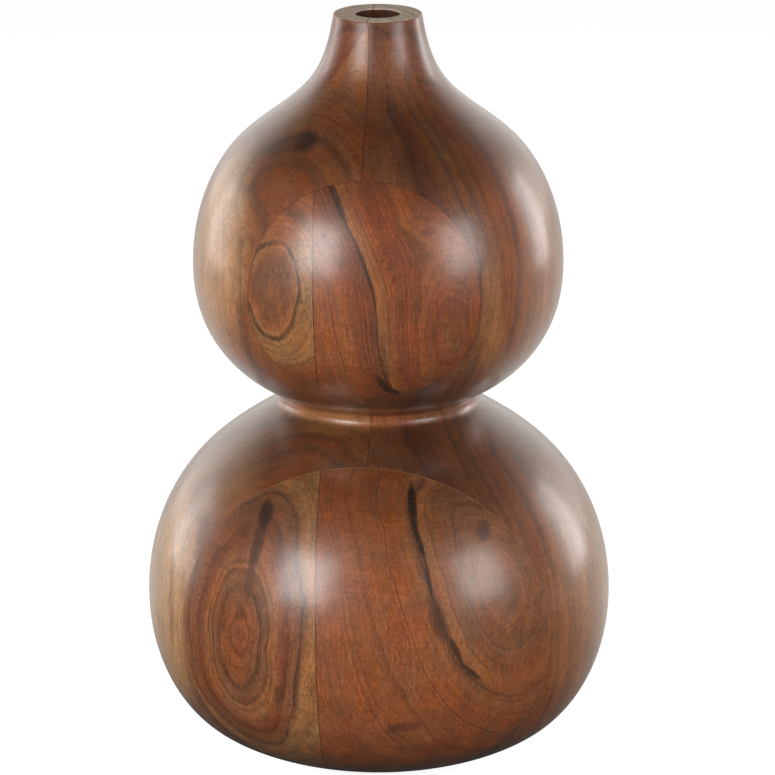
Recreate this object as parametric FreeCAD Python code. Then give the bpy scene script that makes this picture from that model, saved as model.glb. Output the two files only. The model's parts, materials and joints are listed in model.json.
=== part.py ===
import FreeCAD, Part
import math
import os

# Double gourd vase, turned on a lathe from a blank of planks that are glued face to face
# and edge to edge, bored from the top and set on four felt pads.
# Frame: Z runs up the lathe axis, and the origin is on that axis at the underside of the pads.
# The front of the vase faces -Y, and the planks lie square to Y.

# Turned outline
wood_height = 380.0
waist_height = 187.4
lower_belly_radius = 115.4
upper_belly_radius = 91.4
foot_radius = 36.0
waist_radius = 49.0
waist_cove_radius = 4.6
cove_lower_degrees = 59.0
cove_upper_degrees = 65.5
rim_radius = 21.8
rim_edge_radius = 0.8
outline_tolerance = 0.05

# Lower gourd between the foot and the waist, as shares of the waist's height and of the belly
lower_outline_shares = (
    (0.059, 0.577),
    (0.128, 0.785),
    (0.245, 0.926),
    (0.470, 1.000),
    (0.694, 0.920),
    (0.843, 0.752),
    (0.923, 0.590),
)
# Upper gourd and neck, as shares of the height from waist to rim and of the upper belly
upper_outline_shares = (
    (0.076, 0.746),
    (0.138, 0.867),
    (0.221, 0.958),
    (0.367, 1.000),
    (0.533, 0.933),
    (0.668, 0.759),
    (0.761, 0.516),
    (0.844, 0.342),
    (0.922, 0.271),
)

# Bore for the stems, with its eased mouth
bore_radius = 11.1
bore_depth = 200.0
mouth_edge_radius = 0.5

# Glued blank: five layers of planks, two planks to a layer. The three middle layers fill the
# depth between the caps that the upper gourd leaves of the outer two: planks 50 thick.
front_cap_depth = 19.5
back_cap_depth = 13.3
middle_layer_count = 3
turning_allowance = 6.0
seam_lean_degrees = 1.0
front_cap_seam = -22.0
front_inner_seam = 0.7
core_seam = 0.0
back_inner_seam = 6.0
back_cap_seam = 18.0

# Felt pads under the foot
pad_radius = 8.0
pad_thickness = 1.5
pad_circle_radius = 25.0
pad_count = 4
first_pad_degrees = 45.0

# Heights of the wood in the frame
base_z = pad_thickness
waist_z = base_z + waist_height
rim_z = base_z + wood_height
axis = FreeCAD.Vector(0, 0, 1)


def point(radius, height):
    """A point of the turned outline, in the plane through the axis."""
    return FreeCAD.Vector(radius, 0, height)


def smooth_curve(points):
    """A smooth curve through points of the outline, as a chain of tangent arcs."""
    curve = Part.BSplineCurve()
    curve.interpolate(Points=points)
    return [arc.toShape() for arc in curve.toBiArcs(outline_tolerance)]


def cove_point(degrees):
    """A point of the waist's cove, by its angle from the narrowest place."""
    turn = math.radians(degrees)
    radius = waist_radius + waist_cove_radius - waist_cove_radius * math.cos(turn)
    return point(radius, waist_z + waist_cove_radius * math.sin(turn))


def edge_arc(start, corner, end, edge_radius):
    """A quarter arc that eases the corner between start and end."""
    centre = start + end - corner
    middle = centre + (corner - centre).normalize() * edge_radius
    return Part.Arc(start, middle, end).toShape()


def lower_gourd():
    """The outline from the foot's edge to the cove."""
    points = [point(foot_radius, base_z)]
    for height_share, radius_share in lower_outline_shares:
        points.append(point(lower_belly_radius * radius_share, base_z + waist_height * height_share))
    points.append(cove_point(-cove_lower_degrees))
    return smooth_curve(points)


def upper_gourd(neck_end):
    """The outline from the cove over the upper gourd and up the neck."""
    points = [cove_point(cove_upper_degrees)]
    for height_share, radius_share in upper_outline_shares:
        height = waist_z + (rim_z - waist_z) * height_share
        points.append(point(upper_belly_radius * radius_share, height))
    points.append(neck_end)
    return smooth_curve(points)


def turned_form():
    """The whole turned and bored form as one solid, before it is divided into its planks."""
    neck_end = point(rim_radius, rim_z - rim_edge_radius)
    rim_outer = point(rim_radius - rim_edge_radius, rim_z)
    rim_inner = point(bore_radius + mouth_edge_radius, rim_z)
    bore_top = point(bore_radius, rim_z - mouth_edge_radius)
    bore_foot = point(bore_radius, rim_z - bore_depth)
    bore_centre = point(0, rim_z - bore_depth)
    foot_centre = point(0, base_z)
    foot = Part.makeLine(foot_centre, point(foot_radius, base_z))
    cove = Part.Arc(cove_point(-cove_lower_degrees), cove_point(0), cove_point(cove_upper_degrees)).toShape()
    rim_and_bore = [
        edge_arc(neck_end, point(rim_radius, rim_z), rim_outer, rim_edge_radius),
        Part.makeLine(rim_outer, rim_inner),
        edge_arc(rim_inner, point(bore_radius, rim_z), bore_top, mouth_edge_radius),
        Part.makeLine(bore_top, bore_foot),
        Part.makeLine(bore_foot, bore_centre),
        Part.makeLine(bore_centre, foot_centre),
    ]
    outline = [foot] + lower_gourd() + [cove] + upper_gourd(neck_end) + rim_and_bore
    face = Part.Face(Part.Wire(outline))
    return face.revolve(FreeCAD.Vector(0, 0, 0), axis, 360)


def seam_x(seam, height):
    """Where a seam lies across the vase at one height: the blank leans a little on the lathe."""
    return seam - math.tan(math.radians(seam_lean_degrees)) * (height - waist_z)


def plank(side, seam, front_y, back_y, low_z, high_z):
    """One sawn plank of the blank, on the left (-1) or the right (1) of its layer's seam."""
    edge_x = side * (lower_belly_radius + turning_allowance)
    corners = [
        FreeCAD.Vector(edge_x, front_y, low_z),
        FreeCAD.Vector(seam_x(seam, low_z), front_y, low_z),
        FreeCAD.Vector(seam_x(seam, high_z), front_y, high_z),
        FreeCAD.Vector(edge_x, front_y, high_z),
    ]
    outline = Part.makePolygon(corners + corners[:1])
    return Part.Face(outline).extrude(FreeCAD.Vector(0, back_y - front_y, 0))


def layer_boards(form, name, seam, front_y, back_y, low_z, high_z):
    """The two boards that one layer of the blank leaves in the turned form, with their names."""
    boards = {}
    for side, hand in ((-1, "left"), (1, "right")):
        sawn = plank(side, seam, front_y, back_y, low_z, high_z)
        boards[name + "_" + hand] = form.common(sawn)
    return boards


def all_boards():
    """Every board of the vase, from the front layer to the back one."""
    form = turned_form()
    outer_y = lower_belly_radius + turning_allowance
    front_cap_y = front_cap_depth - upper_belly_radius
    back_cap_y = upper_belly_radius - back_cap_depth
    plank_thickness = (back_cap_y - front_cap_y) / middle_layer_count
    core_front_y = front_cap_y + plank_thickness
    core_back_y = back_cap_y - plank_thickness
    print("planks", round(plank_thickness, 3), "thick")
    low_z = base_z - turning_allowance
    high_z = rim_z + turning_allowance
    boards = {}
    boards.update(layer_boards(form, "core_board", core_seam, core_front_y, core_back_y, low_z, high_z))
    boards.update(
        layer_boards(form, "front_inner_board", front_inner_seam, front_cap_y, core_front_y, low_z, high_z))
    boards.update(
        layer_boards(form, "back_inner_board", back_inner_seam, core_back_y, back_cap_y, low_z, high_z))
    # The outer layers are turned right away at the waist, so each leaves an upper and a lower pair.
    for gourd, gourd_low_z, gourd_high_z in (("upper", waist_z, high_z), ("lower", low_z, waist_z)):
        boards.update(layer_boards(
            form, "front_" + gourd + "_cap", front_cap_seam, -outer_y, front_cap_y, gourd_low_z, gourd_high_z))
        boards.update(layer_boards(
            form, "back_" + gourd + "_cap", back_cap_seam, back_cap_y, outer_y, gourd_low_z, gourd_high_z))
    return boards


def felt_pads():
    """The felt pads, evenly spaced on a circle under the foot."""
    pads = {}
    for number in range(pad_count):
        turn = math.radians(first_pad_degrees + 360 * number / pad_count)
        centre = FreeCAD.Vector(pad_circle_radius * math.cos(turn), pad_circle_radius * math.sin(turn), 0)
        pads["felt_pad_" + str(number + 1)] = Part.makeCylinder(pad_radius, pad_thickness, centre, axis)
    return pads


os.makedirs("parts", exist_ok=True)
pieces = all_boards()
pieces.update(felt_pads())
for name, shape in pieces.items():
    solids = shape.Solids
    print(name, "solids", len(solids), "volume", round(shape.Volume), "valid", shape.isValid())
    piece = solids[0] if len(solids) == 1 else Part.makeCompound(solids)
    piece.exportStep("parts/" + name + ".step")
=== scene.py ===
import json
import logging
import math
from dataclasses import dataclass, field, replace
from enum import Enum

import bmesh
import bpy
import numpy as np
from mathutils import Matrix, Vector


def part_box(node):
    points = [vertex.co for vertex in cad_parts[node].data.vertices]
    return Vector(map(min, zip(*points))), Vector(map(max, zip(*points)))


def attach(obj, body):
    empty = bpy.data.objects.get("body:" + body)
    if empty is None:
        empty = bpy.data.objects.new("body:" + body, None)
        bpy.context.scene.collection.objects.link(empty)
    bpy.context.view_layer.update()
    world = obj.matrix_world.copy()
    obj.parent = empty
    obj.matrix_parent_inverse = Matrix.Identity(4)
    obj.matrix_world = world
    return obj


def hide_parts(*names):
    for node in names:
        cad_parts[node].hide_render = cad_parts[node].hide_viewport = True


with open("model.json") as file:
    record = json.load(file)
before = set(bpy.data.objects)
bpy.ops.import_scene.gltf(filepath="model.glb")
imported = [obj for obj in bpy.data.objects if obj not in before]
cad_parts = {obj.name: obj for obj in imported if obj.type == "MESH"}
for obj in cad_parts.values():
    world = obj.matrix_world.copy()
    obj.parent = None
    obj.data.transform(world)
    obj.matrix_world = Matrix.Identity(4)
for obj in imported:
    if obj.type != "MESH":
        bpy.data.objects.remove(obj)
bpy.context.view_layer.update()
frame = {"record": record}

# Double gourd vase: boards of a glued blank, turned to one outline and varnished, on four felt pads.
# Lengths in the classes are in millimetres, in the part's own frame: z runs up the lathe axis, and
# the front faces -y. The seams between two boards of a layer lean a little, by SEAM_LEAN degrees.
MM = 0.001
SEAM_LEAN = 1.0
log = logging.getLogger("vase")


class Tone(Enum):
    """Colours of the wood under its varnish, in linear light."""

    TAN = (0.445, 0.236, 0.092)
    GOLD = (0.290, 0.120, 0.038)
    AMBER = (0.262, 0.092, 0.029)
    COPPER = (0.250, 0.082, 0.026)
    BROWN = (0.190, 0.068, 0.027)
    RUSSET = (0.250, 0.071, 0.021)
    REDDISH = (0.190, 0.050, 0.018)
    SMOKE = (0.140, 0.048, 0.020)
    MAROON = (0.110, 0.035, 0.018)
    UMBER = (0.092, 0.036, 0.020)
    INK = (0.035, 0.017, 0.011)


@dataclass(frozen=True)
class Grain:
    """One noise in a material: its size along x, y and z, and how fine, rough and bent it is.

    Its depth says how far it moves what it is added to, such as the wood's shade. Its cut gives the two
    values between which it rises from 0 to 1 as a mask.
    """

    size: tuple[float, float, float]
    detail: float = 2.0
    rough: float = 0.5
    depth: float = 1.0
    bend: float = 0.0
    cut: tuple[float, float] = (0.3, 0.7)


class Wire:
    """One output of a node, so that shader maths reads as a plain expression."""

    def __init__(self, bench: "ShaderBench", socket: bpy.types.NodeSocket) -> None:
        """Keep the socket and the bench that it belongs to."""
        self.bench = bench
        self.socket = socket

    def __add__(self, other: "Wire | float") -> "Wire":
        """This plus the other."""
        return self.bench.maths("ADD", self, other)

    def __radd__(self, other: float) -> "Wire":
        """A number plus this."""
        return self.bench.maths("ADD", other, self)

    def __sub__(self, other: "Wire | float") -> "Wire":
        """This less the other."""
        return self.bench.maths("SUBTRACT", self, other)

    def __rsub__(self, other: float) -> "Wire":
        """A number less this."""
        return self.bench.maths("SUBTRACT", other, self)

    def __mul__(self, other: "Wire | float") -> "Wire":
        """This times the other."""
        return self.bench.maths("MULTIPLY", self, other)

    def __rmul__(self, other: float) -> "Wire":
        """A number times this."""
        return self.bench.maths("MULTIPLY", other, self)

    def __truediv__(self, other: "Wire | float") -> "Wire":
        """This over the other."""
        return self.bench.maths("DIVIDE", self, other)

    def __abs__(self) -> "Wire":
        """This without its sign."""
        return self.bench.maths("ABSOLUTE", self)

    def __pow__(self, other: "Wire | float") -> "Wire":
        """This to a power."""
        return self.bench.maths("POWER", self, other)

    def least(self, other: "Wire | float") -> "Wire":
        """The smaller of this and the other."""
        return self.bench.maths("MINIMUM", self, other)

    def rise(self, start: float, end: float) -> "Wire":
        """A smooth step of this value.

        Args:
            start: The value at which the step leaves 0.
            end: The value at which it reaches 1; it may be below start, for a falling step.

        Returns:
            The step, from 0 to 1.
        """
        low, high = min(start, end), max(start, end)
        ends = (0.0, 1.0) if end > start else (1.0, 0.0)
        return self.bench.wire(
            "ShaderNodeMapRange",
            {"interpolation_type": "SMOOTHSTEP"},
            {"Value": self, "From Min": low, "From Max": high, "To Min": ends[0], "To Max": ends[1]},
        )


class ShaderBench:
    """Makes and links the nodes of one node tree."""

    def __init__(self, tree: bpy.types.NodeTree) -> None:
        """Start with an empty tree."""
        self.tree = tree
        self.tree.nodes.clear()

    def node(self, kind: str, settings: dict | None = None, inputs: dict | None = None) -> bpy.types.Node:
        """Add one node.

        Args:
            kind: The node's type.
            settings: Its settings, set first; "stops" gives the stops of a colour ramp.
            inputs: The values or wires of its sockets, by name or number.

        Returns:
            The node.
        """
        made = self.tree.nodes.new(kind)
        for key, value in (settings or {}).items():
            if key == "stops":
                self.set_stops(made.color_ramp, value)
            else:
                setattr(made, key, value)
        for key, value in (inputs or {}).items():
            if isinstance(value, Wire):
                self.tree.links.new(value.socket, made.inputs[key])
            else:
                made.inputs[key].default_value = value
        return made

    def set_stops(self, ramp: bpy.types.ColorRamp, stops: list[tuple[float, tuple]]) -> None:
        """Give a ramp its stops.

        Args:
            ramp: The colour ramp.
            stops: The stops, as places from 0 to 1 with their colours.
        """
        while len(ramp.elements) > 1:
            ramp.elements.remove(ramp.elements[0])
        ramp.elements[0].position = stops[0][0]
        ramp.elements[0].color = (*stops[0][1], 1.0)
        for place, colour in stops[1:]:
            ramp.elements.new(place).color = (*colour, 1.0)

    def wire(self, kind: str, settings: dict | None = None, inputs: dict | None = None,
             output: int | str = 0) -> Wire:
        """Add one node and return the wire of one of its outputs."""
        return Wire(self, self.node(kind, settings, inputs).outputs[output])

    def maths(self, operation: str, *values: Wire | float) -> Wire:
        """Add one Math node for an operation on values."""
        return self.wire("ShaderNodeMath", {"operation": operation}, dict(enumerate(values)))

    def vector(self, operation: str, *values: Wire | tuple, output: int | str = 0) -> Wire:
        """Add one Vector Math node for an operation on vectors."""
        return self.wire("ShaderNodeVectorMath", {"operation": operation}, dict(enumerate(values)), output)

    def scaled(self, colour: Wire | tuple, factor: Wire | float) -> Wire:
        """A colour or vector times one value."""
        return self.wire("ShaderNodeVectorMath", {"operation": "SCALE"}, {0: colour, "Scale": factor})

    def mixed(self, factor: Wire | float, first: Wire | tuple, second: Wire | tuple) -> Wire:
        """A colour between two.

        Args:
            factor: 0 for the first colour, 1 for the second.
            first: The first colour.
            second: The second colour.

        Returns:
            The mixed colour.
        """
        first = first if isinstance(first, Wire) else (*first, 1.0)
        second = second if isinstance(second, Wire) else (*second, 1.0)
        return self.wire("ShaderNodeMix", {"data_type": "RGBA"}, {0: factor, 6: first, 7: second}, 2)

    def noise(self, place: Wire, grain: Grain) -> Wire:
        """Noise with a grain of its own size along each axis.

        Args:
            place: The position in millimetres.
            grain: The size and the fineness of the noise.

        Returns:
            The noise, around 0.5.
        """
        spot = self.vector("MULTIPLY", place, tuple(1 / size for size in grain.size))
        inputs = {"Vector": spot, "Scale": 1.0, "Detail": grain.detail, "Roughness": grain.rough,
                  "Distortion": grain.bend}
        return self.wire("ShaderNodeTexNoise", {"noise_dimensions": "3D"}, inputs)

    def line_noise(self, along: Wire) -> Wire:
        """Noise along one value only, around 0.5."""
        inputs = {"W": along, "Scale": 1.0, "Detail": 2.0}
        return self.wire("ShaderNodeTexNoise", {"noise_dimensions": "1D"}, inputs)

    def place(self, shift: tuple[float, float, float]) -> Wire:
        """The position on the piece.

        Args:
            shift: How far it is moved, in millimetres.

        Returns:
            The position in millimetres.
        """
        spot = self.wire("ShaderNodeTexCoord", None, None, "Object")
        inputs = {"Vector": spot, "Scale": (1 / MM,) * 3, "Location": shift}
        return self.wire("ShaderNodeMapping", {"vector_type": "POINT"}, inputs)

    def parts(self, place: Wire) -> tuple[Wire, Wire, Wire]:
        """The x, y and z of a position."""
        split = self.node("ShaderNodeSeparateXYZ", None, {0: place})
        return tuple(Wire(self, socket) for socket in split.outputs)

    def swing(self, place: Wire, grain: Grain) -> Wire:
        """Noise around 0, as deep as its grain says."""
        return (self.noise(place, grain) - 0.5) * grain.depth

    def mask(self, place: Wire, grain: Grain) -> Wire:
        """A mask from 0 to 1, cut out of a noise."""
        return self.noise(place, grain).rise(*grain.cut)

    def attribute(self, name: str) -> Wire:
        """A value that the mesh carries at its points."""
        return self.wire("ShaderNodeAttribute", {"attribute_name": name}, None, "Fac")

    def ramp(self, stops: list[tuple[float, tuple]], place: Wire) -> Wire:
        """A colour from a ramp."""
        return self.wire("ShaderNodeValToRGB", {"stops": stops}, {0: place})

    def bumped(self, height: Wire, strength: float, depth: float) -> Wire:
        """A normal that follows a height, whose full depth is in millimetres."""
        inputs = {"Strength": strength, "Distance": depth * MM, "Height": height}
        return self.wire("ShaderNodeBump", None, inputs)

    def finish(self, shader: Wire) -> None:
        """Lead a shader to the material's output."""
        self.node("ShaderNodeOutputMaterial", None, {"Surface": shader})


def new_material(name: str) -> tuple[bpy.types.Material, ShaderBench]:
    """Make an empty material.

    Args:
        name: The material's name.

    Returns:
        The material and the bench for its nodes.
    """
    material = bpy.data.materials.new(name)
    material.use_nodes = True
    return material, ShaderBench(material.node_tree)


def add_object(name: str, data: bpy.types.ID) -> bpy.types.Object:
    """Put a mesh, a lamp or a camera into the scene.

    Args:
        name: The object's name.
        data: The mesh, lamp or camera.

    Returns:
        The object.
    """
    made = bpy.data.objects.new(name, data)
    bpy.context.scene.collection.objects.link(made)
    return made


def sight_line(azimuth: float, elevation: float) -> Vector:
    """The direction from the vase to a lamp or a camera, by its angles in degrees from the front."""
    turn, tilt = math.radians(azimuth), math.radians(elevation)
    return Vector((math.sin(turn) * math.cos(tilt), -math.cos(turn) * math.cos(tilt), math.sin(tilt)))


def smooth_line(points: list[tuple[float, float]], spacing: float) -> np.ndarray:
    """A smooth line through points, the same cubic curve that the outline of the solids has.

    Args:
        points: Radius and height of the points.
        spacing: The distance between two points of the result.

    Returns:
        Points along the line, with both ends.
    """
    marks = np.array(points)
    run = np.concatenate([[0.0], np.cumsum(np.linalg.norm(np.diff(marks, axis=0), axis=1))])
    length = run[-1]
    run = run / length

    def basis(share: np.ndarray) -> np.ndarray:
        """The powers and the cut cubes that make up the curve.

        Args:
            share: Places along the line, from 0 to 1.

        Returns:
            One row of powers and cubes for each place.
        """
        powers = [share ** power for power in range(4)]
        cubes = [np.clip(share - knot, 0, None) ** 3 for knot in run[2:-2]]
        return np.column_stack(powers + cubes)

    weights = np.linalg.solve(basis(run), marks)
    return basis(np.linspace(0, 1, round(length / spacing) + 1)) @ weights


def arc_line(centre: tuple[float, float], radius: float, start: float, end: float, count: int) -> np.ndarray:
    """Points on an arc of the outline, from one angle to another in degrees."""
    turn = np.radians(np.linspace(start, end, count))
    return np.column_stack([centre[0] + radius * np.cos(turn), centre[1] + radius * np.sin(turn)])


@dataclass(frozen=True)
class TurnedOutline:
    """The line that the turner's tool leaves, from the foot over both gourds and down the bore.

    The shares give points of each gourd as shares of its height and of its belly. The skin keeps the
    lower belly just inside the solids' box.
    """

    base_z: float
    rim_z: float
    lower_belly: float
    upper_belly: float
    bore: float
    bore_length: float
    waist_height: float = 187.4
    foot: float = 36.0
    waist: float = 49.0
    cove: float = 4.6
    cove_low: float = 59.0
    cove_high: float = 65.5
    rim: float = 21.8
    rim_edge: float = 0.8
    mouth_edge: float = 0.5
    skin: float = 0.06
    spacing: float = 2.2
    edge_points: int = 6
    cove_points: int = 17
    wall_points: int = 3
    lower_shares: tuple = ((0.059, 0.577), (0.128, 0.785), (0.245, 0.926), (0.470, 1.000),
                           (0.694, 0.920), (0.843, 0.752), (0.923, 0.590))
    upper_shares: tuple = ((0.076, 0.746), (0.138, 0.867), (0.221, 0.958), (0.367, 1.000),
                           (0.533, 0.933), (0.668, 0.759), (0.761, 0.516), (0.844, 0.342), (0.922, 0.271))

    @classmethod
    def from_frame(cls) -> "TurnedOutline":
        """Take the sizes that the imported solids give.

        Returns:
            The outline with those sizes.
        """
        core_low, core_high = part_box("core_board_left")
        bore = next(m for m in frame["record"]["mounts"] if m["name"] == "stem_bore")["dims"]
        return cls(
            base_z=core_low[2] / MM,
            rim_z=core_high[2] / MM,
            lower_belly=-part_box("front_lower_cap_right")[0][1] / MM - cls.skin,
            upper_belly=-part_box("front_upper_cap_right")[0][1] / MM,
            bore=bore["r_mm"],
            bore_length=bore["length_mm"],
        )

    @property
    def waist_z(self) -> float:
        """The height of the narrowest place in the frame."""
        return self.base_z + self.waist_height

    def outside(self) -> np.ndarray:
        """The outside of the vase.

        Returns:
            Radius and height of its points, from the foot's edge to the rim's edge.
        """
        centre = (self.waist + self.cove, self.waist_z)
        cove = arc_line(centre, self.cove, 180 + self.cove_low, 180 - self.cove_high, self.cove_points)
        lower = [(self.foot, self.base_z)]
        for height, radius in self.lower_shares:
            lower.append((self.lower_belly * radius, self.base_z + self.waist_height * height))
        upper = [tuple(cove[-1])]
        for height, radius in self.upper_shares:
            upper.append((self.upper_belly * radius, self.waist_z + (self.rim_z - self.waist_z) * height))
        upper.append((self.rim, self.rim_z - self.rim_edge))
        first = smooth_line(lower + [tuple(cove[0])], self.spacing)
        second = smooth_line(upper, self.spacing)
        return np.vstack([first[:-1], cove[:-1], second])

    def closed(self) -> np.ndarray:
        """The whole outline, with both ends on the axis.

        Returns:
            Radius and height of its points, from under the foot to the bore's floor.
        """
        edge, mouth = self.rim_edge, self.mouth_edge
        rim_arc = arc_line((self.rim - edge, self.rim_z - edge), edge, 0, 90, self.edge_points)
        mouth_arc = arc_line((self.bore + mouth, self.rim_z - mouth), mouth, 90, 180, self.edge_points)
        rim_middle = ((rim_arc[-1] + mouth_arc[0]) / 2)[None]
        floor_z = self.rim_z - mouth - self.bore_length
        heights = np.linspace(mouth_arc[-1][1], floor_z, self.wall_points + 1)[1:]
        wall = np.column_stack([np.full(self.wall_points, self.bore), heights])
        foot_disc = [[0.0, self.base_z], [self.foot / 2, self.base_z]]
        floor_centre = [[0.0, floor_z]]
        return np.vstack([foot_disc, self.outside(), rim_arc[1:], rim_middle, mouth_arc, wall, floor_centre])

    def radius_at(self, height: np.ndarray) -> np.ndarray:
        """The outside radius at some heights."""
        line = self.outside()
        return np.interp(height, line[:, 1], line[:, 0])


class Layer(Enum):
    """The layers of planks, from the front to the back."""

    FRONT_CAP = "front_cap"
    FRONT_INNER = "front_inner"
    CORE = "core"
    BACK_INNER = "back_inner"
    BACK_CAP = "back_cap"


class Side(Enum):
    """Which board of a layer it is, as seen from the front."""

    LEFT = -1
    RIGHT = 1


@dataclass(frozen=True)
class RingLines:
    """Growth rings of a flat sawn board, drawn smoothly between given ring lines.

    Each line is a ring's value and the places, across and up, where it crosses the turned front. The
    slack lets the rings pass a little beside those places.
    """

    lines: tuple
    slack: float = 0.5

    def values(self, points: np.ndarray, outline: TurnedOutline) -> np.ndarray:
        """The ring value at some points in millimetres.

        Args:
            points: The points, one to a row.
            outline: The turned outline that the ring lines lie on.

        Returns:
            One ring value for each point.
        """
        marks = np.array([(x, z, ring) for ring, *places in self.lines for x, z in places], float)
        depth = np.sqrt(np.clip(outline.radius_at(marks[:, 1]) ** 2 - marks[:, 0] ** 2, 0, None))
        spots = np.column_stack([marks[:, 0], -depth, marks[:, 1]])
        count = len(spots)
        system = np.zeros((count + 4, count + 4))
        apart = np.linalg.norm(spots[:, None] - spots[None], axis=2)
        system[:count, :count] = apart - self.slack * np.eye(count)
        system[:count, count] = system[count, :count] = 1
        system[:count, count + 1:] = spots
        system[count + 1:, :count] = spots.T
        weights = np.linalg.solve(system, np.concatenate([marks[:, 2], np.zeros(4)]))
        result = weights[count] + points @ weights[count + 1:]
        for spot, weight in zip(spots, weights[:count]):
            result += weight * np.linalg.norm(points - spot, axis=1)
        return result


@dataclass(frozen=True)
class PithRings:
    """Growth rings round a pith line that runs up beside the board, with slow waves."""

    pith_x: float
    pith_y: float
    lean_x: float = 0.0
    lean_y: float = 0.0
    wave: float = 3.0
    wave_length: float = 120.0
    wave_drift: tuple = (31.0, 17.0)
    short_wave: tuple = (2.3, 0.5)

    def values(self, points: np.ndarray, outline: TurnedOutline) -> np.ndarray:
        """The distance of some points from the pith, with its waves.

        Args:
            points: The points in millimetres, one to a row.
            outline: The turned outline, for the height of its waist.

        Returns:
            One ring value for each point.
        """
        rise = points[:, 2] - outline.waist_z
        across = points[:, 0] - self.pith_x - self.lean_x * rise
        back = points[:, 1] - self.pith_y - self.lean_y * rise
        turn = rise * 2 * math.pi / self.wave_length
        drift_x, drift_y = points[:, 0] / self.wave_drift[0], points[:, 1] / self.wave_drift[1]
        rate, share = self.short_wave
        waves = np.sin(turn + drift_x) + share * np.sin(rate * turn + drift_y)
        return np.hypot(across, back) + self.wave * waves


@dataclass(frozen=True)
class Spot:
    """A small mark in the wood, such as a knot or a smear: an ellipse across and up the front.

    Its turn is in degrees, and soft says how wide the step at its edge is.
    """

    x: float
    z: float
    width: float
    height: float
    tone: Tone
    strength: float = 0.8
    turn: float = 0.0
    soft: float = 0.4


@dataclass(frozen=True)
class Figure:
    """The colours of a board from ring to ring.

    Each band is a ring and its tone. Each line is a ring, how dark the line is there, and half its width,
    of which the core is fully dark.
    """

    rings: RingLines | PithRings
    bands: tuple
    lines: tuple = ()
    spots: tuple = ()
    ripple: float = 0.10
    pores: float = 0.60
    fine: float = 0.50
    core: float = 0.3

    def share(self, ring: float) -> float:
        """Where a ring lies between the first and the last band."""
        return (ring - self.bands[0][0]) / (self.bands[-1][0] - self.bands[0][0])

    def band_stops(self) -> list:
        """The stops of the colour ramp."""
        return [(self.share(ring), tone.value) for ring, tone in self.bands]

    def line_stops(self) -> list:
        """The stops of the ramp that says how dark the ring lines are.

        Returns:
            Places from 0 to 1 with their greys.
        """
        stops = [(0.0, (0.0, 0.0, 0.0))]
        for ring, dark, half in sorted(self.lines):
            for offset, level in ((-1.0, 0.0), (-self.core, dark), (self.core, dark), (1.0, 0.0)):
                stops.append((self.share(ring + half * offset), (level,) * 3))
        return stops


@dataclass(frozen=True)
class WoodGrains:
    """The noises of the wood, from the slow wander of its rings to its hair fine fibres."""

    slow: Grain = Grain((16.0, 16.0, 50.0), depth=2.2)
    quick: Grain = Grain((2.6, 2.6, 20.0), depth=0.7)
    frayed: Grain = Grain((0.6, 0.6, 8.0), rough=0.6, depth=1.5)
    fade: Grain = Grain((9.0, 9.0, 30.0), 3.0, 0.6, cut=(0.25, 0.62))
    warmth: Grain = Grain((12.0, 12.0, 26.0), 3.0, 0.6)
    patches: Grain = Grain((5.0, 5.0, 9.0), 3.0, 0.6, 1.1)
    polish: Grain = Grain((5.0, 5.0, 14.0), 3.0, depth=0.16)
    torn: Grain = Grain((0.6, 0.6, 0.4), rough=0.6)
    fibre: Grain = Grain((1.1, 1.1, 18.0), 3.0, 0.6, 0.85)
    hair: Grain = Grain((0.45, 0.45, 3.6), 2.0, 0.65, 1.40)
    ripple: Grain = Grain((22.0, 22.0, 4.0), bend=0.6)
    chatter: Grain = Grain((9.0, 9.0, 0.9), depth=0.42)
    blotch: Grain = Grain((11.0, 11.0, 17.0), 4.0, 0.65, 0.85)
    dots: Grain = Grain((0.42, 0.42, 2.2), 1.5, 0.6, cut=(0.56, 0.66))
    zones: Grain = Grain((5.0, 5.0, 20.0), cut=(0.38, 0.62))


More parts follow.
